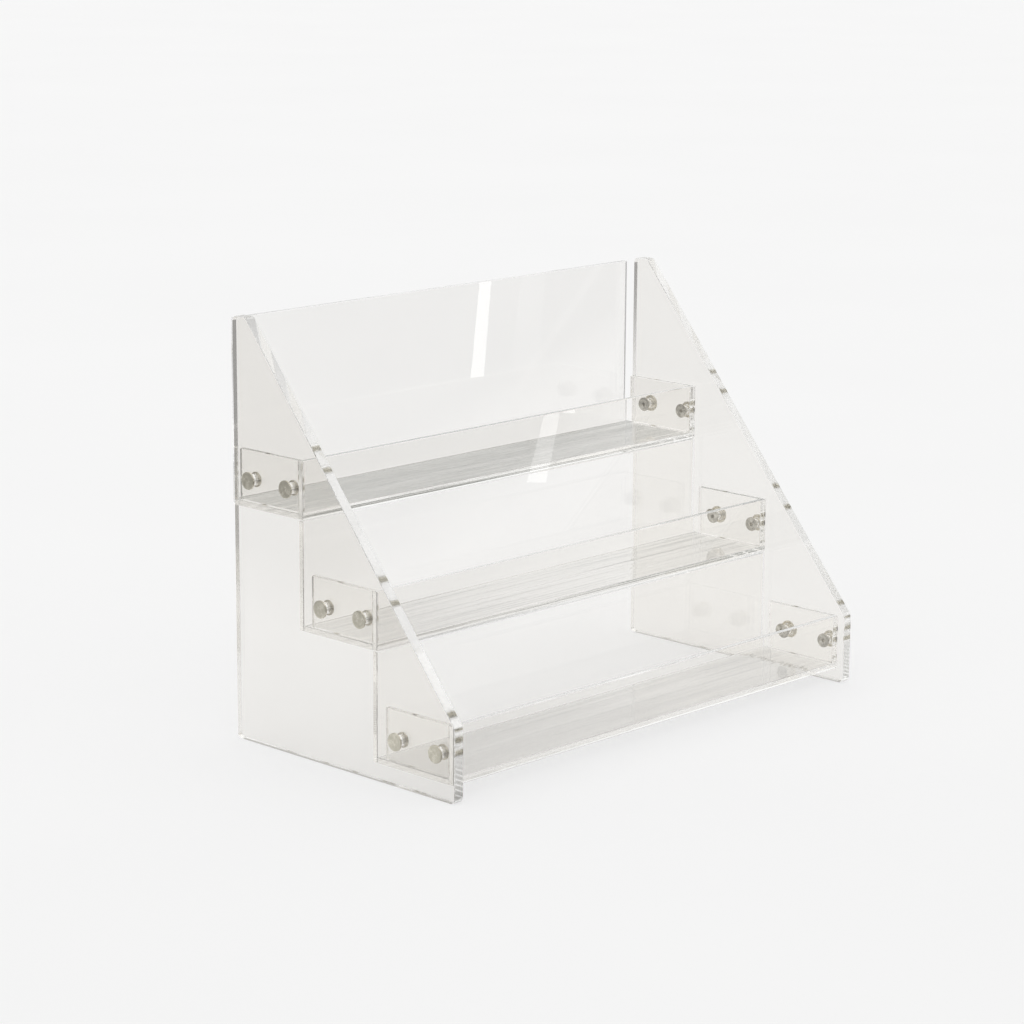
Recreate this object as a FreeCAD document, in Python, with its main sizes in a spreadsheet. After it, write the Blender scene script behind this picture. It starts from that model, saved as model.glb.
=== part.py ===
import FreeCAD, Part
import os
import Sketcher

# Three-tier brochure rack for a counter, in clear cast sheet.
#
# Two sloping side panels carry three open trays that step down towards the
# reader. Each tray is cemented from five flat sheets: floor, front lip, back
# panel and two end plates. Every end plate is clamped flat against a side
# panel by two binding posts: a barrel with a plain disc head goes in from the
# outside and a short screw with a smaller disc head closes it from the inside.
#
# Millimetres. X runs across the rack, -Y is the reader's side, +Z is up. The
# origin is on the counter, at the centre of the rack's outline.

TIERS = ("bottom", "middle", "top")
SIDES = ("left", "right")
ENDS = ("front", "rear")

# alias, value and what the value is
DIMENSIONS = (
    ("overall_width", 308.0, "across the outer faces of the side panels"),
    ("overall_height", 220.0, "counter to the side panels' top edge"),
    ("side_thickness", 6.0, "sheet of the side panels"),
    ("side_top_run", 10.0, "flat top edge of a side panel"),
    ("side_nose_height", 38.0, "upright front edge of a side panel"),
    ("side_back_margin", 1.0, "side panel past the top end plate, at the back"),
    ("side_top_radius", 3.0, "rounding of the two top corners"),
    ("side_nose_radius", 6.0, "rounding where the slope meets the front edge"),
    ("side_foot_radius", 3.0, "rounding of the two bottom corners"),
    ("sheet", 3.0, "sheet of the trays"),
    ("front_setback", 4.0, "bottom lip behind the side panels' front edge"),
    ("ground_clearance", 8.0, "counter to the underside of the bottom tray"),
    ("tray_reach", 53.0, "lip face to back panel face of one tray"),
    ("tray_drop", 57.0, "height from one tray to the next"),
    ("lip_height", 30.0, "lip, with the edge of the floor behind it"),
    ("end_plate_gap", 6.0, "end plate's back edge to the back panel"),
    ("back_top_gap", 2.5, "top back panel below the side panels' top edge"),
    ("tier_gap", 0.5, "air between a back panel and the tray above it"),
    ("front_margin", 9.0, "lip face to the front fasteners' axis"),
    ("back_margin", 10.0, "rear fasteners' axis to the end plate's back edge"),
    ("fastener_rise", 15.0, "underside of a tray to its fasteners' axes"),
    ("barrel_radius", 2.5, "barrel of a binding post"),
    ("hole_clearance", 0.2, "radial play of the barrel in the sheets"),
    ("barrel_end_play", 0.3, "barrel shorter than the sheets it clamps"),
    ("post_head_radius", 4.6, "outer disc head"),
    ("post_head_height", 0.8, "outer disc head"),
    ("bore_end_wall", 1.5, "solid barrel between the outer head and the bore"),
    ("screw_head_radius", 3.9, "inner disc head"),
    ("screw_head_height", 0.8, "inner disc head"),
    ("head_chamfer", 0.2, "edge break of both heads"),
    ("shank_radius", 1.5, "screw shank"),
    ("shank_length", 6.0, "screw shank"),
    ("thread_clearance", 0.05, "radial play of the shank in the bore"),
    ("socket_flats", 2.0, "hexagon socket in the screw, across flats"),
    ("socket_depth", 1.4, "hexagon socket in the screw"),
)


def cell(alias):
    return "Dimensions." + alias


def total(*terms):
    return "(" + " + ".join(terms) + ")"


def less(first, *others):
    return "(" + " - ".join((first,) + others) + ")"


SHEET = cell("sheet")
INNER_WIDTH = less(cell("overall_width"), "2 * " + cell("side_thickness"))
END_PLATE_REACH = less(cell("tray_reach"), cell("end_plate_gap"))
# front edge of the side panels to the rear face of the top back panel
RACK_DEPTH = total(cell("front_setback"), f"{len(TIERS)} * " + cell("tray_reach"), SHEET)
RACK_FRONT = f"(-{RACK_DEPTH} / 2)"
SIDE_DEPTH = total(
    cell("front_setback"),
    f"{len(TIERS) - 1} * " + cell("tray_reach"),
    END_PLATE_REACH,
    cell("side_back_margin"),
)
HOLE_RADIUS = total(cell("barrel_radius"), cell("hole_clearance"))


def lip_face(tier):
    """Y of a tray's front face, measured from the side panels' front edge."""
    return total(cell("front_setback"), f"{tier} * " + cell("tray_reach"))


def tray_base(tier):
    """Z of a tray's underside."""
    return total(cell("ground_clearance"), f"{tier} * " + cell("tray_drop"))


def fastener_step(end):
    """Y of a fastener's axis behind its tray's lip face."""
    if ENDS[end] == "front":
        return cell("front_margin")
    return less(END_PLATE_REACH, cell("back_margin"))


# ---------------------------------------------------------------- the document

document = FreeCAD.newDocument("brochure_rack")
sheet_object = document.addObject("Spreadsheet::Sheet", "Dimensions")
for row, (alias, value, meaning) in enumerate(DIMENSIONS, start=1):
    sheet_object.set(f"A{row}", meaning)
    sheet_object.set(f"B{row}", str(value))
    sheet_object.setAlias(f"B{row}", alias)
document.recompute()

parts = []


def new_body(label, place, turn=0.0):
    """An empty body whose placement follows the three given expressions."""
    body = document.addObject("PartDesign::Body", label)
    body.Label = label
    body.Placement.Rotation = FreeCAD.Rotation(FreeCAD.Vector(0, 0, 1), turn)
    for axis, expression in zip("xyz", place):
        body.setExpression(f".Placement.Base.{axis}", expression)
    parts.append(body)
    return body


def origin_plane(body, role):
    return next(item for item in body.Origin.OriginFeatures if item.Role == role)


def new_sketch(body, name, role):
    sketch = body.newObject("Sketcher::SketchObject", f"{body.Name}_{name}")
    sketch.AttachmentSupport = [(origin_plane(body, role), "")]
    sketch.MapMode = "FlatFace"
    return sketch


def bind_point(sketch, geometry, position, place, name):
    """Hold one sketch point at two expressions, or on an axis where one is 0."""
    axes = (("DistanceX", -2), ("DistanceY", -1))
    for (kind, axis_line), expression in zip(axes, place):
        if expression == "0":
            sketch.addConstraint(
                Sketcher.Constraint("PointOnObject", geometry, position, axis_line)
            )
            continue
        value = float(sketch.evalExpression(expression))
        index = sketch.addConstraint(
            Sketcher.Constraint(kind, -1, 1, geometry, position, value)
        )
        label = name + kind[-1]
        sketch.renameConstraint(index, label)
        sketch.setExpression(f"Constraints.{label}", expression)


def outline(sketch, corners):
    """A closed outline of straight lines through corners given as expressions."""
    values = [
        FreeCAD.Vector(*(float(sketch.evalExpression(item)) for item in corner), 0)
        for corner in corners
    ]
    count = len(corners)
    for index in range(count):
        line = Part.LineSegment(values[index], values[(index + 1) % count])
        sketch.addGeometry(line, False)
    for index in range(count):
        following = (index + 1) % count
        sketch.addConstraint(Sketcher.Constraint("Coincident", index, 2, following, 1))
    for index, corner in enumerate(corners):
        bind_point(sketch, index, 1, corner, f"corner{index}")


def rectangle(sketch, width, height):
    outline(sketch, [("0", "0"), (width, "0"), (width, height), ("0", height)])


def circles(sketch, centres, radius):
    for index, centre in enumerate(centres):
        values = [float(sketch.evalExpression(item)) for item in centre]
        size = float(sketch.evalExpression(radius))
        ring = Part.Circle(FreeCAD.Vector(*values, 0), FreeCAD.Vector(0, 0, 1), size)
        geometry = sketch.addGeometry(ring, False)
        bind_point(sketch, geometry, 3, centre, f"centre{index}")
        limit = sketch.addConstraint(Sketcher.Constraint("Radius", geometry, size))
        sketch.renameConstraint(limit, f"radius{index}")
        sketch.setExpression(f"Constraints.radius{index}", radius)


def pad(body, sketch, length):
    feature = body.newObject("PartDesign::Pad", f"{body.Name}_pad")
    feature.Profile = sketch
    feature.setExpression("Length", length)
    body.Tip = feature
    document.recompute()


def pocket(body, sketch, name, depth=None, reverse=False):
    """Cut a sketch out of a body, through all of it where no depth is given."""
    before = body.Shape.Volume
    feature = body.newObject("PartDesign::Pocket", f"{body.Name}_{name}")
    feature.Profile = sketch
    feature.Reversed = reverse
    if depth is None:
        feature.Type = "ThroughAll"
    else:
        feature.setExpression("Length", depth)
    body.Tip = feature
    document.recompute()
    if not body.Shape.Volume < before:
        raise RuntimeError(f"{body.Label}: {name} removes nothing")


# ------------------------------------------------------------- sheets and trays


def flat_sheet(label, size, place):
    """A plain rectangular sheet, standing or lying, from its lowest corner."""
    body = new_body(label, place)
    sketch = new_sketch(body, "outline", "XY_Plane")
    rectangle(sketch, size[0], size[1])
    pad(body, sketch, size[2])
    return body


def edges_along_x(feature, points):
    """Names of the edges that run along X through the given (y, z) points."""
    names = []
    for index, edge in enumerate(feature.Shape.Edges, start=1):
        ends = [vertex.Point for vertex in edge.Vertexes]
        if len(ends) != 2:
            continue
        for y, z in points:
            if all(abs(end.y - y) < 1e-4 and abs(end.z - z) < 1e-4 for end in ends):
                names.append(f"Edge{index}")
    return names


def round_corners(body, name, points, radius):
    base = body.Tip
    edges = edges_along_x(base, points)
    feature = body.newObject("PartDesign::Fillet", f"{body.Name}_{name}")
    feature.Base = (base, edges)
    feature.setExpression("Radius", cell(radius))
    body.Tip = feature
    document.recompute()


def side_panel(side):
    """One sloping side, seen from the side as (y, z) from its lower front corner."""
    outer = f"(-{cell('overall_width')} / 2)"
    inner = f"({INNER_WIDTH} / 2)"
    label = f"side_panel_{side}"
    body = new_body(label, (outer if side == "left" else inner, RACK_FRONT, "0"))
    sketch = new_sketch(body, "outline", "YZ_Plane")
    height = cell("overall_height")
    nose = cell("side_nose_height")
    top_front = less(SIDE_DEPTH, cell("side_top_run"))
    outline(
        sketch,
        [("0", "0"), (SIDE_DEPTH, "0"), (SIDE_DEPTH, height), (top_front, height), ("0", nose)],
    )
    pad(body, sketch, cell("side_thickness"))
    depth, top, slope_top, nose_top = (
        float(sketch.evalExpression(item)) for item in (SIDE_DEPTH, height, top_front, nose)
    )
    round_corners(body, "top", [(depth, top), (slope_top, top)], "side_top_radius")
    round_corners(body, "nose", [(0.0, nose_top)], "side_nose_radius")
    round_corners(body, "foot", [(0.0, 0.0), (depth, 0.0)], "side_foot_radius")
    holes = new_sketch(body, "holes", "YZ_Plane")
    centres = [
        (total(lip_face(tier), fastener_step(end)), total(tray_base(tier), cell("fastener_rise")))
        for tier in range(len(TIERS))
        for end in range(len(ENDS))
    ]
    circles(holes, centres, HOLE_RADIUS)
    pocket(body, holes, "drilling", reverse=True)


def end_plate(tier, side):
    """A tray's end wall, standing on the floor between lip and back edge."""
    half = f"({INNER_WIDTH} / 2)"
    place_x = f"(-{half})" if side == "left" else less(half, SHEET)
    place_y = total(RACK_FRONT, lip_face(tier), SHEET)
    place_z = total(tray_base(tier), SHEET)
    body = new_body(f"{TIERS[tier]}_end_plate_{side}", (place_x, place_y, place_z))
    sketch = new_sketch(body, "outline", "YZ_Plane")
    rectangle(sketch, less(END_PLATE_REACH, SHEET), less(cell("lip_height"), SHEET))
    pad(body, sketch, SHEET)
    holes = new_sketch(body, "holes", "YZ_Plane")
    rise = less(cell("fastener_rise"), SHEET)
    centres = [(less(fastener_step(end), SHEET), rise) for end in range(len(ENDS))]
    circles(holes, centres, HOLE_RADIUS)
    pocket(body, holes, "drilling", reverse=True)


def tray(tier):
    """Floor, lip, back panel and end plates of one tray."""
    name = TIERS[tier]
    left = f"(-{INNER_WIDTH} / 2)"
    front = total(RACK_FRONT, lip_face(tier))
    base = tray_base(tier)
    behind_lip = total(front, SHEET)
    back_face = total(front, cell("tray_reach"))
    floor_depth = less(cell("tray_reach"), SHEET)
    if name == "top":
        back_top = less(cell("overall_height"), cell("back_top_gap"))
    else:
        back_top = less(tray_base(tier + 1), cell("tier_gap"))
    flat_sheet(f"{name}_lip", (INNER_WIDTH, SHEET, cell("lip_height")), (left, front, base))
    flat_sheet(f"{name}_floor", (INNER_WIDTH, floor_depth, SHEET), (left, behind_lip, base))
    back_size = (INNER_WIDTH, SHEET, less(back_top, base))
    flat_sheet(f"{name}_back_panel", back_size, (left, back_face, base))
    for side in SIDES:
        end_plate(tier, side)


# ------------------------------------------------------------------- fasteners


def revolve_profile(body, corners):
    """A solid of revolution about X from an (x, radius) outline."""
    sketch = new_sketch(body, "profile", "XY_Plane")
    outline(sketch, corners)
    feature = body.newObject("PartDesign::Revolution", f"{body.Name}_turned")
    feature.Profile = sketch
    feature.ReferenceAxis = (sketch, ["H_Axis"])
    feature.Angle = 360.0
    body.Tip = feature
    document.recompute()


def fastener_place(tier, side, end, distance):
    """Point on a fastener's axis at the given distance from the middle of the rack."""
    sign = "-1" if side == "left" else "1"
    return (
        f"({sign} * {distance})",
        total(RACK_FRONT, lip_face(tier), fastener_step(end)),
        total(tray_base(tier), cell("fastener_rise")),
    )


def disc_head(radius, height):
    """Profile of a chamfered disc from its face at -height to its seat at 0."""
    chamfer = cell("head_chamfer")
    return [
        (f"(-{height})", "0"),
        (f"(-{height})", less(radius, chamfer)),
        (less(chamfer, height), radius),
        ("0", radius),
    ]


def binding_post(tier, side, end):
    """Outer disc and barrel; its own origin is under the disc, +X inwards."""
    place = fastener_place(tier, side, end, f"{cell('overall_width')} / 2")
    label = f"post_{TIERS[tier]}_{side}_{ENDS[end]}"
    body = new_body(label, place, 0.0 if side == "left" else 180.0)
    barrel = cell("barrel_radius")
    tip = less(total(cell("side_thickness"), SHEET), cell("barrel_end_play"))
    bore = total(cell("shank_radius"), cell("thread_clearance"))
    wall = cell("bore_end_wall")
    head = disc_head(cell("post_head_radius"), cell("post_head_height"))
    sleeve = [("0", barrel), (tip, barrel), (tip, bore), (wall, bore), (wall, "0")]
    revolve_profile(body, head + sleeve)


def screw(tier, side, end):
    """Inner disc and shank; its own origin is under the disc, +X outwards."""
    place = fastener_place(tier, side, end, less(f"{INNER_WIDTH} / 2", SHEET))
    label = f"screw_{TIERS[tier]}_{side}_{ENDS[end]}"
    body = new_body(label, place, 180.0 if side == "left" else 0.0)
    shank = cell("shank_radius")
    length = cell("shank_length")
    head = disc_head(cell("screw_head_radius"), cell("screw_head_height"))
    revolve_profile(body, head + [("0", shank), (length, shank), (length, "0")])
    socket = new_sketch(body, "socket", "YZ_Plane")
    socket.setExpression(".AttachmentOffset.Base.z", f"(-{cell('screw_head_height')})")
    half = f"({cell('socket_flats')} / 2)"
    side_half = f"({cell('socket_flats')} / (2 * sqrt(3)))"
    point = f"({cell('socket_flats')} / sqrt(3))"
    outline(
        socket,
        [
            (point, "0"),
            (side_half, half),
            (f"(-{side_half})", half),
            (f"(-{point})", "0"),
            (f"(-{side_half})", f"(-{half})"),
            (side_half, f"(-{half})"),
        ],
    )
    pocket(body, socket, "recess", depth=cell("socket_depth"), reverse=True)


# -------------------------------------------------------------------- assembly

for side in SIDES:
    side_panel(side)
for tier in range(len(TIERS)):
    tray(tier)
    for side in SIDES:
        for end in range(len(ENDS)):
            binding_post(tier, side, end)
            screw(tier, side, end)

document.recompute()
for item in document.Objects:
    if "Invalid" in item.State or "Error" in item.State:
        raise RuntimeError(f"{item.Label}: {item.State}")
for body in parts:
    if body.Shape.isNull() or not body.Shape.isValid() or len(body.Shape.Solids) != 1:
        raise RuntimeError(f"{body.Label}: bad shape")

os.makedirs("parts", exist_ok=True)
for body in parts:
    body.Shape.exportStep(f"parts/{body.Label}.step")
print(f"{len(parts)} parts written")
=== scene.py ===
import itertools
import math

import bmesh
import bpy
from mathutils import Matrix, Vector, geometry


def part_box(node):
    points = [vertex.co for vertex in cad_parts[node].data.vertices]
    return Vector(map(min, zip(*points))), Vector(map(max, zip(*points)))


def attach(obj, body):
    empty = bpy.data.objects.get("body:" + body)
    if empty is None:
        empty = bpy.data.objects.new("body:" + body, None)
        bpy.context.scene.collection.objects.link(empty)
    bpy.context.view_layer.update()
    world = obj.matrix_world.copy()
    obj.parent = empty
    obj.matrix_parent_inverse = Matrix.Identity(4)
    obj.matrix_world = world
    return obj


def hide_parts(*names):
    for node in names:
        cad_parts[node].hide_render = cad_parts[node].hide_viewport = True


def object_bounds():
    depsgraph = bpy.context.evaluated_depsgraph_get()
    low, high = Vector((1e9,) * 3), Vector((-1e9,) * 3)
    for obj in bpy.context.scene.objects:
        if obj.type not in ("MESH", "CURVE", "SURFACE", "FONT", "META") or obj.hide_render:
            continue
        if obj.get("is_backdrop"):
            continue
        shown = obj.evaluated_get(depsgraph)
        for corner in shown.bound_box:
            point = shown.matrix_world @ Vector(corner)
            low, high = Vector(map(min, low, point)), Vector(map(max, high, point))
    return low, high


# Looks of a clear three-tier brochure rack: polished acrylic sheets with
# eased edges and nickel binding posts, on a pale studio floor.

MM = 0.001
TIERS = ("bottom", "middle", "top")
SIDES = ("left", "right")
ENDS = ("front", "rear")

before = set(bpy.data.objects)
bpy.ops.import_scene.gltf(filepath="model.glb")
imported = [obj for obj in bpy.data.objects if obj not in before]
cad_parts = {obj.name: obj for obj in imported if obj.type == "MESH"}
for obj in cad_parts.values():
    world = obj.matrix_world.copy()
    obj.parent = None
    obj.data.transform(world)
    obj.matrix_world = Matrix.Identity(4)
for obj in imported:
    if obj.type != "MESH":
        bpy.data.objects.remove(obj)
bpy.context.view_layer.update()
scene = bpy.context.scene

# ------------------------------------------------------------------ node tools


class Nodes:
    """Short calls for building one node tree."""

    def __init__(self, tree):
        self.tree = tree
        self.tree.nodes.clear()

    def new(self, kind, **values):
        node = self.tree.nodes.new(kind)
        for key, value in values.items():
            setattr(node, key, value)
        return node

    def link(self, source, target):
        self.tree.links.new(source, target)

    def math(self, operation, *values):
        node = self.new("ShaderNodeMath", operation=operation)
        for value, socket in zip(values, node.inputs):
            if isinstance(value, (int, float)):
                socket.default_value = value
            else:
                self.link(value, socket)
        return node.outputs[0]

    def noise(self, vector, scale, detail=2.0, roughness=0.5):
        node = self.new("ShaderNodeTexNoise")
        node.inputs["Scale"].default_value = scale
        node.inputs["Detail"].default_value = detail
        node.inputs["Roughness"].default_value = roughness
        self.link(vector, node.inputs["Vector"])
        return node.outputs["Fac"]

    def span(self, value, from_low, from_high, to_low, to_high):
        node = self.new("ShaderNodeMapRange")
        for name, number in zip(
            ("From Min", "From Max", "To Min", "To Max"),
            (from_low, from_high, to_low, to_high),
        ):
            node.inputs[name].default_value = number
        self.link(value, node.inputs["Value"])
        return node.outputs["Result"]

    def mapped(self, vector, scale=(1, 1, 1), rotation=(0, 0, 0)):
        node = self.new("ShaderNodeMapping")
        node.inputs["Scale"].default_value = scale
        node.inputs["Rotation"].default_value = rotation
        self.link(vector, node.inputs["Vector"])
        return node.outputs["Vector"]

    def bump(self, height, distance, strength=1.0, normal=None):
        node = self.new("ShaderNodeBump")
        node.inputs["Distance"].default_value = distance
        node.inputs["Strength"].default_value = strength
        self.link(height, node.inputs["Height"])
        if normal is not None:
            self.link(normal, node.inputs["Normal"])
        return node.outputs["Normal"]

    def blend(self, factor, first, second):
        """A colour between two constants, by factor."""
        node = self.new("ShaderNodeMix", data_type="RGBA")
        node.inputs["A"].default_value = (*first, 1)
        node.inputs["B"].default_value = (*second, 1)
        self.link(factor, node.inputs["Factor"])
        return node.outputs["Result"]


def new_material(name):
    material = bpy.data.materials.new(name)
    material.use_nodes = True
    return material, Nodes(material.node_tree)


def surface(n, output):
    """Make a shader the material's surface."""
    n.link(output, n.new("ShaderNodeOutputMaterial").inputs["Surface"])


# ------------------------------------------------------------------- materials

ACRYLIC_IOR = 1.49
TINT_DRIFT = 0.012  # how much paler the clearest patches of a sheet are
MICRON = 0.001 * MM


def clear_shader(n):
    shader = n.new("ShaderNodeBsdfPrincipled")
    shader.inputs["Transmission Weight"].default_value = 1.0
    shader.inputs["IOR"].default_value = ACRYLIC_IOR
    return shader


def acrylic(name, tint, haze, cut=False, drawn=False):
    """Clear cast acrylic: a polished face, or a saw-cut and flamed edge.

    drawn adds the lengthwise waviness of a long narrow strip, which breaks its
    mirror image into streaks.
    """
    material, n = new_material(name)
    place = n.new("ShaderNodeTexCoord").outputs["Object"]
    shader = clear_shader(n)
    # slow changes of tint and haze, as handling leaves on a clear sheet
    cloud = n.noise(place, scale=18.0, detail=3.0)
    paler = tuple(min(1.0, value + TINT_DRIFT) for value in tint)
    colour = n.blend(n.span(cloud, 0.35, 0.65, 0, 1), tint, paler)
    n.link(colour, shader.inputs["Base Color"])
    if cut:
        grain = n.noise(n.mapped(place, (260, 260, 260)), scale=4.0, detail=3.0, roughness=0.7)
        rough = n.span(grain, 0.3, 0.75, haze, haze * 4)
        stripes = n.noise(n.mapped(place, (900, 900, 900)), scale=1.0)
        normal = n.bump(stripes, distance=10 * MICRON, strength=0.5)
    else:
        smeared = n.mapped(place, scale=(1, 1, 2.4), rotation=(0.4, 0.7, 0.2))
        smear = n.noise(smeared, scale=55.0, detail=4.0, roughness=0.6)
        rough = n.span(smear, 0.52, 0.8, 0.0, haze)
        wave = n.noise(n.mapped(place, (9, 9, 7)), scale=1.0, detail=1.0)
        normal = n.bump(wave, distance=220 * MICRON)
        if drawn:
            streak = n.noise(n.mapped(place, (2.5, 130, 130)), scale=1.0)
            normal = n.bump(streak, distance=100 * MICRON, normal=normal)
        scored = n.mapped(place, scale=(40, 2600, 40), rotation=(0.5, 0.3, 0.9))
        scratch = n.span(n.noise(scored, scale=1.0), 0.62, 0.75, 0, 1)
        normal = n.bump(scratch, distance=2 * MICRON, strength=0.5, normal=normal)
    n.link(rough, shader.inputs["Roughness"])
    n.link(normal, shader.inputs["Normal"])
    # lamps shine through the sheet instead of casting a solid shadow
    clear = n.new("ShaderNodeBsdfTransparent")
    clear.inputs["Color"].default_value = (*tint, 1)
    mix = n.new("ShaderNodeMixShader")
    n.link(n.new("ShaderNodeLightPath").outputs["Is Shadow Ray"], mix.inputs["Fac"])
    n.link(shader.outputs[0], mix.inputs[1])
    n.link(clear.outputs[0], mix.inputs[2])
    surface(n, mix.outputs[0])
    return material


def eased_arris(name):
    """The broken corner between a sheet's face and its edge, polished clear."""
    material, n = new_material(name)
    place = n.new("ShaderNodeTexCoord").outputs["Object"]
    shader = clear_shader(n)
    fine = n.mapped(place, (700, 700, 700))
    chatter = n.noise(fine, scale=1.0, detail=3.0, roughness=0.6)
    dull, bright = (0.97, 0.97, 0.965), (1.0, 1.0, 0.995)
    n.link(n.blend(n.span(chatter, 0.3, 0.7, 0, 1), dull, bright), shader.inputs["Base Color"])
    n.link(n.span(chatter, 0.3, 0.7, 0.0, 0.05), shader.inputs["Roughness"])
    surface(n, shader.outputs[0])
    return material


def nickel(name, dark, light, rough_low, rough_high):
    """Warm nickel plate over a turned blank, with rings from the facing cut."""
    material, n = new_material(name)
    place = n.new("ShaderNodeTexCoord").outputs["Object"]
    shader = n.new("ShaderNodeBsdfPrincipled")
    shader.inputs["Metallic"].default_value = 1.0
    stain = n.noise(place, scale=420.0, detail=4.0, roughness=0.6)
    colour = n.blend(n.span(stain, 0.38, 0.62, 0, 1), dark, light)
    n.link(colour, shader.inputs["Base Color"])
    wave = n.new("ShaderNodeTexWave", wave_type="RINGS", rings_direction="X")
    wave.inputs["Scale"].default_value = 520.0
    wave.inputs["Distortion"].default_value = 0.6
    wave.inputs["Detail"].default_value = 2.0
    n.link(place, wave.inputs["Vector"])
    n.link(n.span(stain, 0.25, 0.75, rough_low, rough_high), shader.inputs["Roughness"])
    rings = n.bump(wave.outputs["Fac"], distance=6 * MICRON, strength=0.6)
    n.link(rings, shader.inputs["Normal"])
    surface(n, shader.outputs[0])
    return material


SIDE_TINT = (0.94, 0.927, 0.902)
SIDE_EDGE_TINT = (0.965, 0.96, 0.945)
TRAY_TINT = (0.977, 0.97, 0.956)
TRAY_EDGE_TINT = (0.995, 0.995, 0.99)

side_face = acrylic("side_acrylic_face", SIDE_TINT, haze=0.035)
side_edge = acrylic("side_acrylic_edge", SIDE_EDGE_TINT, haze=0.05, cut=True)
tray_face = acrylic("tray_acrylic_face", TRAY_TINT, haze=0.03)
tray_edge = acrylic("tray_acrylic_edge", TRAY_EDGE_TINT, haze=0.015, cut=True)
floor_face = acrylic("tray_floor_face", TRAY_TINT, haze=0.03, drawn=True)
arris = eased_arris("scraped_arris")
post_metal = nickel(
    "post_nickel_plate",
    dark=(0.54, 0.515, 0.435),
    light=(0.68, 0.65, 0.56),
    rough_low=0.16,
    rough_high=0.32,
)
screw_metal = nickel(
    "screw_nickel_plate",
    dark=(0.4, 0.38, 0.33),
    light=(0.62, 0.6, 0.54),
    rough_low=0.1,
    rough_high=0.22,
)

# ---------------------------------------------------------------------- meshes

SKIN = 0.02 * MM  # each sheet is this much inside its solid, so no faces coincide
EASE = 0.3 * MM  # eased edges of the sheets
FACE, FLAT_EDGE, ARRIS = range(3)  # material places of a sheet
ARC_STEPS = 8
HOLE_STEPS = 48
LEAST_CORNER = 0.05 * MM
WELD = 1e-7  # metres


def corner_arc(before, corner, after, radius):
    """Points of the rounding between two straight lines."""
    back = (before - corner).normalized()
    ahead = (after - corner).normalized()
    half = back.angle(ahead) / 2
    reach = radius / math.tan(half)
    centre = corner + (back + ahead).normalized() * (radius / math.sin(half))
    start = corner + back * reach - centre
    end = corner + ahead * reach - centre
    turn = start.angle_signed(end)
    turns = (-turn * step / ARC_STEPS for step in range(ARC_STEPS + 1))
    return [centre + Matrix.Rotation(angle, 2) @ start for angle in turns]


def inset_corners(corners, inset):
    """The corners of a counter-clockwise polygon moved inwards."""
    moved = []
    count = len(corners)
    for index in range(count):
        before, here, after = corners[index - 1], corners[index], corners[(index + 1) % count]
        first = (here - before).normalized()
        second = (after - here).normalized()
        normal = Vector((-first.y, first.x))
        half = first.angle_signed(second) / -2
        along = inset * math.tan(half)
        moved.append(here + normal * inset - first * along)
    return moved


def rounded(corners, radii, inset):
    """A rounded outline, inset, with the same number of points whatever the inset."""
    moved = inset_corners(corners, inset)
    points = []
    for index, radius in enumerate(radii):
        before, after = moved[index - 1], moved[(index + 1) % len(moved)]
        least = max(radius - inset, LEAST_CORNER)
        points += corner_arc(before, moved[index], after, least)
    return points


def ring(centre, radius):
    """A circle, clockwise, so that its walls face into the hole."""
    turns = (-2 * math.pi * step / HOLE_STEPS for step in range(HOLE_STEPS))
    return [centre + Vector((math.cos(t), math.sin(t))) * radius for t in turns]


def sheet(name, corners, radii, holes, low, high, to_world, materials, node):
    """A flat sheet with eased edges and drilled holes, in place of a CAD node."""
    levels = (
        (low, SKIN + EASE),
        (low + EASE, SKIN),
        (high - EASE, SKIN),
        (high, SKIN + EASE),
    )
    vertices, faces, face_kind = [], [], []
    starts, sizes = [], []
    for depth, inset in levels:
        outlines = [rounded(corners, radii, inset)]
        outlines += [ring(centre, radius + inset - SKIN) for centre, radius in holes]
        sizes = [len(outline) for outline in outlines]
        starts.append(len(vertices))
        for outline in outlines:
            vertices += [to_world(point.x, point.y, depth) for point in outline]
        if depth in (low, high):
            flat = [[Vector((p.x, p.y, 0)) for p in outline] for outline in outlines]
            base = starts[-1]
            for a, b, c in geometry.tessellate_polygon(flat):
                faces.append((base + a, base + b, base + c))
                face_kind.append(FACE)
    for band, (lower, upper) in enumerate(zip(starts, starts[1:])):
        kind = FLAT_EDGE if band == 1 else ARRIS
        offset = 0
        for size in sizes:
            for step in range(size):
                here, following = offset + step, offset + (step + 1) % size
                faces.append((lower + here, lower + following, upper + following, upper + here))
                face_kind.append(kind)
            offset += size
    mesh = bpy.data.meshes.new(name)
    mesh.from_pydata(vertices, [], faces)
    for material in materials:
        mesh.materials.append(material)
    for polygon, kind in zip(mesh.polygons, face_kind):
        polygon.material_index = kind
    tidy_normals(mesh)
    piece = bpy.data.objects.new(name, mesh)
    scene.collection.objects.link(piece)
    finish_piece(piece, node)


def tidy_normals(mesh):
    """Weld and make the faces of a closed mesh look outwards."""
    work = bmesh.new()
    work.from_mesh(mesh)
    bmesh.ops.remove_doubles(work, verts=work.verts, dist=WELD)
    bmesh.ops.recalc_face_normals(work, faces=work.faces)
    work.to_mesh(mesh)
    work.free()
    mesh.update()


def finish_piece(piece, node):
    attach(piece, "root")
    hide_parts(node)


def box_faces(node, axis):
    """The four corners and the thickness range of a flat CAD sheet."""
    low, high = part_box(node)
    across = [index for index in range(3) if index != axis]
    corners = [
        Vector((low[across[0]], low[across[1]])),
        Vector((high[across[0]], low[across[1]])),
        Vector((high[across[0]], high[across[1]])),
        Vector((low[across[0]], high[across[1]])),
    ]
    return corners, low[axis] + SKIN, high[axis] - SKIN


def placer(axis):
    """Turns (first, second, depth) into a point, for a sheet square to an axis."""
    orders = {
        0: lambda u, v, w: (w, u, v),
        1: lambda u, v, w: (u, w, v),
        2: lambda u, v, w: (u, v, w),
    }
    return orders[axis]


# ---------------------------------------------------------------------- sheets

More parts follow.
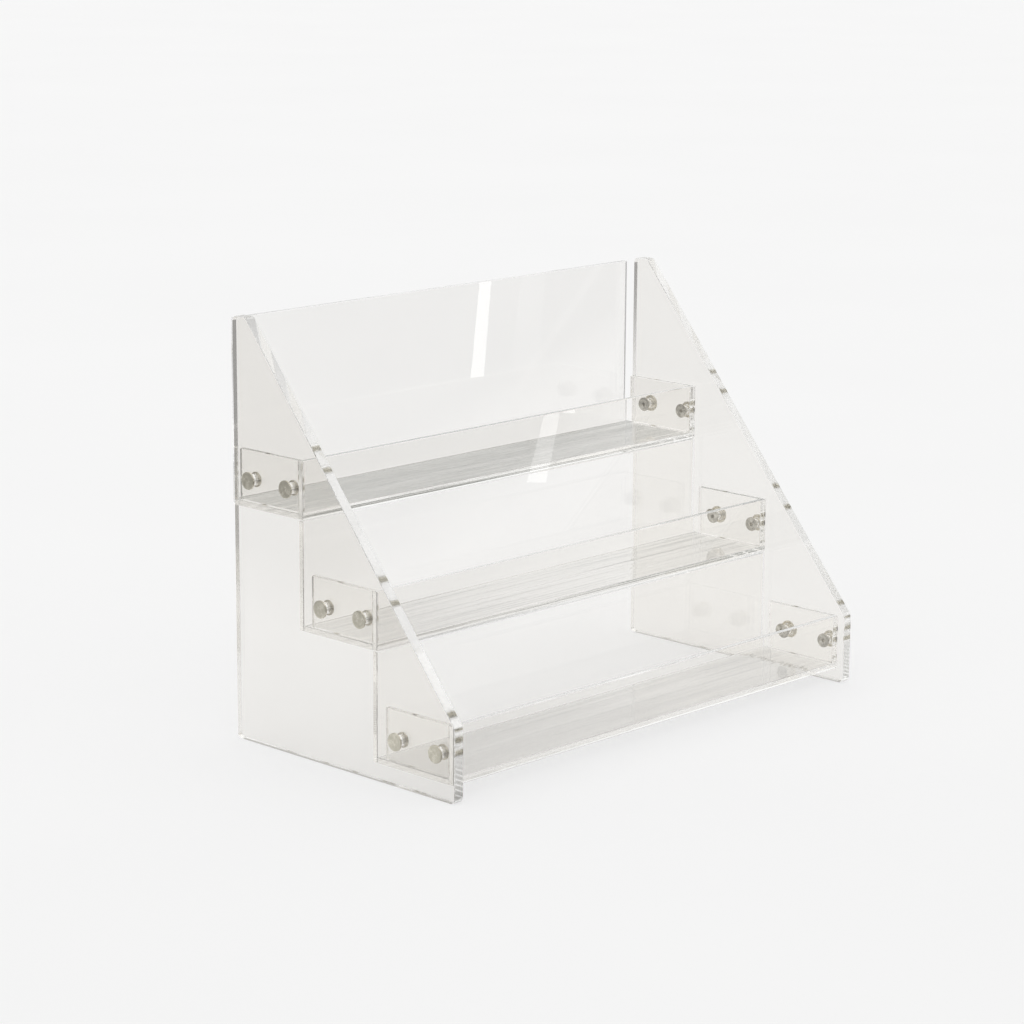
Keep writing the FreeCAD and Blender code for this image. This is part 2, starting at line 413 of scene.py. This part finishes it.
SIDE_TOP_RUN = 10 * MM
SIDE_NOSE_HEIGHT = 38 * MM
SIDE_RADII = (3 * MM, 3 * MM, 3 * MM, 3 * MM, 6 * MM)  # from the front foot, by way of the back
HOLE_RADIUS = 2.7 * MM
SHEET_CORNER = 0.5 * MM


def post_axis(tier, side, end):
    """(y, z) of a binding post's axis."""
    low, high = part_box(f"post_{tier}_{side}_{end}")
    return Vector(((low.y + high.y) / 2, (low.z + high.z) / 2))


for side in SIDES:
    node = f"side_panel_{side}"
    low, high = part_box(node)
    outline = [
        Vector((low.y, low.z)),
        Vector((high.y, low.z)),
        Vector((high.y, high.z)),
        Vector((high.y - SIDE_TOP_RUN, high.z)),
        Vector((low.y, low.z + SIDE_NOSE_HEIGHT)),
    ]
    drilled = [(post_axis(tier, side, end), HOLE_RADIUS) for tier in TIERS for end in ENDS]
    sheet(
        f"side_sheet_{side}",
        outline,
        SIDE_RADII,
        drilled,
        low.x + SKIN,
        high.x - SKIN,
        placer(0),
        (side_face, side_edge, arris),
        node,
    )

FLAT_NODES = (("lip", 1), ("floor", 2), ("back_panel", 1))
for tier in TIERS:
    flats = [(f"{tier}_{part}", axis, []) for part, axis in FLAT_NODES]
    for side in SIDES:
        drilled = [(post_axis(tier, side, end), HOLE_RADIUS) for end in ENDS]
        flats.append((f"{tier}_end_plate_{side}", 0, drilled))
    for node, axis, drilled in flats:
        corners, depth_low, depth_high = box_faces(node, axis)
        sheet(
            f"{node}_sheet",
            corners,
            (SHEET_CORNER,) * 4,
            drilled,
            depth_low,
            depth_high,
            placer(axis),
            (floor_face if node.endswith("_floor") else tray_face, tray_edge, arris),
            node,
        )

# ------------------------------------------------------------------- fasteners

TURN_STEPS = 96
RIM_STEPS = 4
SHARP_ANGLE = math.radians(32)
HEAD_HEIGHT = 0.8 * MM
HEAD_FACE_RING = 0.9 * MM  # outer ring of the head's face
HEAD_UNDERCUT = 0.1 * MM
POST_RIM = 0.18 * MM  # rounding of the head's rim
SCREW_RIM = 0.15 * MM

# (x from the head's seat, radius) of the barrel, round its open end and down
# its bore; the second and third points carry the flutes
BARREL = (
    (0.0, 2.3 * MM),
    (0.3 * MM, 2.48 * MM),
    (3.4 * MM, 2.48 * MM),
    (3.6 * MM, 2.3 * MM),
    (8.5 * MM, 2.3 * MM),
    (8.7 * MM, 2.1 * MM),
    (8.7 * MM, 1.58 * MM),
    (2.0 * MM, 1.58 * MM),
)
FLUTES = 14
FLUTE_DEPTH = 0.4 * MM

SHANK_NECK = 1.45 * MM
SHANK_END = (6.0 * MM, 1.2 * MM)
THREAD_PITCH = 0.5 * MM
THREAD_TURNS = 11
THREAD_START = 0.6  # turns from the seat to the first root
THREAD_ROOT = 1.28 * MM
THREAD_CREST = 1.48 * MM
SOCKET_FLATS = 2.0 * MM
SOCKET_DEPTH = 1.4 * MM
SOCKET_MOUTH = 0.12 * MM  # bevel round the socket
SOCKET_SIDE = math.pi / 3

CLOCK_STEP = 0.61  # radians by which each fastener is turned from the one before


def turns():
    return [2 * math.pi * step / TURN_STEPS for step in range(TURN_STEPS)]


def new_ring(work, x, sizes):
    """Vertices round the X axis, one radius for each turn."""
    return [
        work.verts.new((x, size * math.cos(turn), size * math.sin(turn)))
        for turn, size in zip(turns(), sizes)
    ]


def bridge(work, rings):
    for lower, upper in zip(rings, rings[1:]):
        for step in range(TURN_STEPS):
            following = (step + 1) % TURN_STEPS
            work.faces.new((lower[step], lower[following], upper[following], upper[step]))


def sink_socket(work, mouth_ring, face_x):
    """A hexagon socket with a bevelled mouth, in place of a flat face."""
    rings = [mouth_ring]
    for x, grow in (
        (face_x, SOCKET_MOUTH),
        (face_x + SOCKET_MOUTH, 0.0),
        (face_x + SOCKET_DEPTH, 0.0),
    ):
        off_flat = [(turn % SOCKET_SIDE) - SOCKET_SIDE / 2 for turn in turns()]
        sizes = [(SOCKET_FLATS / 2 + grow) / math.cos(angle) for angle in off_flat]
        rings.append(new_ring(work, x, sizes))
    bridge(work, rings)
    work.faces.new(rings[-1])


def turned(name, profile, fluted=(), socket=False):
    """A closed solid of revolution about X from (x, radius) points.

    fluted holds the profile points that carry flutes; socket sinks a hexagon
    into the first end.
    """
    work = bmesh.new()
    rings = []
    for index, (x, radius) in enumerate(profile):
        depth = FLUTE_DEPTH if index in fluted else 0.0
        sizes = [radius - depth * (0.5 + 0.5 * math.cos(turn * FLUTES)) for turn in turns()]
        rings.append(new_ring(work, x, sizes))
    bridge(work, rings)
    work.faces.new(rings[-1])
    if socket:
        sink_socket(work, rings[0], profile[0][0])
    else:
        work.faces.new(rings[0])
    bmesh.ops.recalc_face_normals(work, faces=work.faces)
    mesh = bpy.data.meshes.new(name)
    work.to_mesh(mesh)
    work.free()
    for polygon in mesh.polygons:
        polygon.use_smooth = True
    mesh.set_sharp_from_angle(angle=SHARP_ANGLE)
    return mesh


def disc_head(radius, rim):
    """Profile of a disc head from its face to its seat, with a rounded rim."""
    flat = radius - rim
    points = [(-HEAD_HEIGHT, flat - HEAD_FACE_RING), (-HEAD_HEIGHT, flat)]
    for step in range(1, RIM_STEPS + 1):
        turn = math.pi / 2 * step / RIM_STEPS
        points.append((-HEAD_HEIGHT + rim * (1 - math.cos(turn)), flat + rim * math.sin(turn)))
    return points + [(-HEAD_UNDERCUT, radius), (0.0, radius - HEAD_UNDERCUT)]


def post_mesh(radius):
    head = disc_head(radius, POST_RIM)
    return turned("post", head + list(BARREL), fluted=(len(head) + 1, len(head) + 2))


def screw_mesh(radius):
    shank = [(0.0, SHANK_NECK)]
    # rings at the thread's pitch stand for its helix
    for index in range(THREAD_TURNS):
        start = (index + THREAD_START) * THREAD_PITCH
        shank += [(start, THREAD_ROOT), (start + THREAD_PITCH / 2, THREAD_CREST)]
    return turned("screw", disc_head(radius, SCREW_RIM) + shank + [SHANK_END], socket=True)


for kind, make_mesh, slot, metal in (
    ("post", post_mesh, "post_nickel", post_metal),
    ("screw", screw_mesh, "screw_nickel", screw_metal),
):
    low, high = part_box(f"{kind}_{TIERS[0]}_{SIDES[0]}_{ENDS[0]}")
    shared = make_mesh((high.z - low.z) / 2)
    shared.materials.append(metal)
    for tier, side, end in itertools.product(TIERS, SIDES, ENDS):
        node = f"{kind}_{tier}_{side}_{end}"
        low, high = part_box(node)
        piece = bpy.data.objects.new(f"{node}_turned", shared)
        scene.collection.objects.link(piece)
        # the head's face is outermost on a post and innermost on a screw
        head_left = (side == "left") == (kind == "post")
        seat = low.x + HEAD_HEIGHT if head_left else high.x - HEAD_HEIGHT
        centre = Vector((seat, (low.y + high.y) / 2, (low.z + high.z) / 2))
        facing = Matrix.Rotation(0.0 if head_left else math.pi, 4, "Z")
        place_in_row = TIERS.index(tier) * 4 + ENDS.index(end) * 2 + SIDES.index(side)
        clock = Matrix.Rotation(place_in_row * CLOCK_STEP, 4, "X")
        piece.matrix_world = Matrix.Translation(centre) @ facing @ clock
        finish_piece(piece, node)

# ----------------------------------------------------------------------- stage


PAPER_HALF = 14.0
PAPER_LEVEL = -0.02 * MM
PAPER_TONES = ((0.225, 0.225, 0.225), (0.235, 0.235, 0.235))
# most of the paper's tone is its own glow, so the rack's shadow stays faint
PAPER_GLOW = 0.69


def flat_square(name, half, level, material):
    """A square of the stage, centred under the rack."""
    mesh = bpy.data.meshes.new(name)
    corners = [(-half, -half, 0), (half, -half, 0), (half, half, 0), (-half, half, 0)]
    mesh.from_pydata(corners, [], [(0, 1, 2, 3)])
    mesh.materials.append(material)
    square = bpy.data.objects.new(name, mesh)
    square.location.z = level
    scene.collection.objects.link(square)
    square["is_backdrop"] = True
    return square


def stage_floor():
    material, n = new_material("studio_paper")
    place = n.new("ShaderNodeTexCoord").outputs["Object"]
    shader = n.new("ShaderNodeBsdfPrincipled")
    shader.inputs["Roughness"].default_value = 0.9
    shader.inputs["Specular IOR Level"].default_value = 0.1
    shader.inputs["Emission Color"].default_value = (1, 1, 1, 1)
    shader.inputs["Emission Strength"].default_value = PAPER_GLOW
    grain = n.span(n.noise(place, scale=3.0, detail=3.0), 0.3, 0.7, 0, 1)
    n.link(n.blend(grain, *PAPER_TONES), shader.inputs["Base Color"])
    surface(n, shader.outputs[0])
    flat_square("studio_floor", PAPER_HALF, PAPER_LEVEL, material)


# (upward part of a direction, tone): the bands near the horizon are what the
# tray floors mirror
WORLD_BANDS = (
    (0.0, (0.92, 0.92, 0.92)),
    (0.182, (0.92, 0.92, 0.92)),
    (0.188, (0.14, 0.155, 0.14)),
    (0.199, (0.16, 0.175, 0.16)),
    (0.202, (0.62, 0.63, 0.61)),
    (0.205, (0.16, 0.175, 0.16)),
    (0.222, (0.2, 0.215, 0.2)),
    (0.232, (0.88, 0.88, 0.87)),
    (0.249, (0.9, 0.9, 0.89)),
    (0.254, (0.46, 0.455, 0.44)),
    (0.262, (0.46, 0.455, 0.44)),
    (0.268, (0.85, 0.845, 0.83)),
    (0.277, (0.58, 0.575, 0.56)),
    (0.29, (0.44, 0.435, 0.42)),
    (0.32, (0.44, 0.435, 0.42)),
    (0.4, (0.62, 0.615, 0.60)),
    (0.58, (1.08, 1.08, 1.08)),
    (1.0, (1.08, 1.08, 1.08)),
)


def studio_world():
    """Soft light from all round: a banded horizon, greyer walls, a bright ceiling."""
    world = bpy.data.worlds.new("studio")
    world.use_nodes = True
    n = Nodes(world.node_tree)
    direction = n.new("ShaderNodeTexCoord").outputs["Generated"]
    split = n.new("ShaderNodeSeparateXYZ")
    n.link(direction, split.inputs[0])
    ramp = n.new("ShaderNodeValToRGB")
    elements = ramp.color_ramp.elements
    while len(elements) < len(WORLD_BANDS):
        elements.new(0.5)
    for element, (position, colour) in zip(elements, WORLD_BANDS):
        element.position = position
        element.color = (*colour, 1)
    n.link(split.outputs["Z"], ramp.inputs["Fac"])
    shade = n.new("ShaderNodeBackground")
    n.link(ramp.outputs["Color"], shade.inputs["Color"])
    n.link(shade.outputs[0], n.new("ShaderNodeOutputWorld").inputs["Surface"])
    scene.world = world
    world.cycles.sampling_method = "NONE"


REFLECTION_CARD_HALF = 5.0
REFLECTION_CARD_LEVEL = 1 * MM
# tone of the painted dark reflection, a glow though the card is no lamp
PAINTED_REFLECTION_TONE = (0.10, 0.095, 0.09, 1)
MIRRORED = 0.5  # a ray that has been mirrored has a glossy depth above this


def painted_dark_reflection():
    """A dark card that glows its own tone and shows only to rays that have been mirrored:
    painted dark reflections in the sheets' faces and edges, standing in for an unlit room
    beyond the pale table.
    """
    material, n = new_material("painted_dark_reflection")
    split = n.new("ShaderNodeSeparateXYZ")
    n.link(n.new("ShaderNodeTexCoord").outputs["Object"], split.inputs[0])
    slant = n.math("MULTIPLY_ADD", split.outputs["X"], 0.5, split.outputs["Y"])
    before = n.span(slant, -0.12, -0.2, 0, 0.72)
    beside = n.span(split.outputs["X"], -0.3, -0.44, 0, 0.5)
    # painted reflection: the card is seen only by rays that have had a glossy bounce, and is
    # clear to all others
    depth = n.new("ShaderNodeLightPath").outputs["Glossy Depth"]
    mirrored = n.math("GREATER_THAN", depth, MIRRORED)
    amount = n.math("MULTIPLY", n.math("MAXIMUM", before, beside), mirrored)
    glow = n.new("ShaderNodeEmission")
    glow.inputs["Color"].default_value = PAINTED_REFLECTION_TONE
    mix = n.new("ShaderNodeMixShader")
    n.link(amount, mix.inputs["Fac"])
    n.link(n.new("ShaderNodeBsdfTransparent").outputs[0], mix.inputs[1])
    n.link(glow.outputs[0], mix.inputs[2])
    surface(n, mix.outputs[0])
    material.cycles.emission_sampling = "NONE"
    card = flat_square("painted_dark_reflection", REFLECTION_CARD_HALF, REFLECTION_CARD_LEVEL, material)
    for kind in ("camera", "diffuse", "volume_scatter", "shadow"):
        setattr(card, f"visible_{kind}", False)


STRIP_LEVEL = 2 * MM


def floor_strip(name, start, end, width, radiance):
    """A thin lamp lying on the floor, facing up, that shows as an upright glint."""
    start, end = Vector((*start, STRIP_LEVEL)), Vector((*end, STRIP_LEVEL))
    along = end - start
    data = bpy.data.lights.new(name, "AREA")
    data.shape = "RECTANGLE"
    data.size, data.size_y = along.length, width
    data.energy = radiance * math.pi * along.length * width
    strip = bpy.data.objects.new(name, data)
    strip.location = (start + end) / 2
    strip.rotation_euler = (math.pi, 0, math.atan2(along.y, along.x))
    for kind in ("camera", "diffuse", "transmission"):
        setattr(strip, f"visible_{kind}", False)
    scene.collection.objects.link(strip)


SENSOR_WIDTH = 36.0
LENS = 106.84
EYE = (-1.14059, -1.06685, 0.46064)
AZIMUTH, ELEVATION, ROLL = (math.radians(degrees) for degrees in (46.175, 12.77, 0.384))
CLIP = (0.05, 60.0)


def camera():
    data = bpy.data.cameras.new("camera")
    data.sensor_width = SENSOR_WIDTH
    data.lens = LENS
    data.clip_start, data.clip_end = CLIP
    eye = bpy.data.objects.new("camera", data)
    ahead = Vector(
        (
            math.sin(AZIMUTH) * math.cos(ELEVATION),
            math.cos(AZIMUTH) * math.cos(ELEVATION),
            -math.sin(ELEVATION),
        )
    )
    eye.location = EYE
    eye.rotation_mode = "QUATERNION"
    level = ahead.to_track_quat("-Z", "Y").to_matrix().to_4x4()
    eye.rotation_quaternion = (Matrix.Rotation(ROLL, 4, -ahead) @ level).to_quaternion()
    scene.collection.objects.link(eye)
    scene.camera = eye


stage_floor()
painted_dark_reflection()
for name, start, end, width, radiance in (
    ("glint_far", (0.61, -0.497), (1.2, -1.06), 11 * MM, 3.0),
    ("glint_near", (0.4, -0.335), (0.6, -0.508), 13 * MM, 2.0),
    ("glint_side", (0.62, -0.45), (1.25, -1.04), 24 * MM, 0.3),
):
    floor_strip(name, start, end, width, radiance)
studio_world()
camera()

scene.view_settings.view_transform = "Standard"
# light crosses and mirrors inside a sheet many times before it gets out
SHEET_BOUNCES = 200
scene.cycles.max_bounces = SHEET_BOUNCES
scene.cycles.transmission_bounces = SHEET_BOUNCES
scene.cycles.glossy_bounces = SHEET_BOUNCES
scene.cycles.diffuse_bounces = 4
scene.cycles.transparent_max_bounces = 48

low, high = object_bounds()
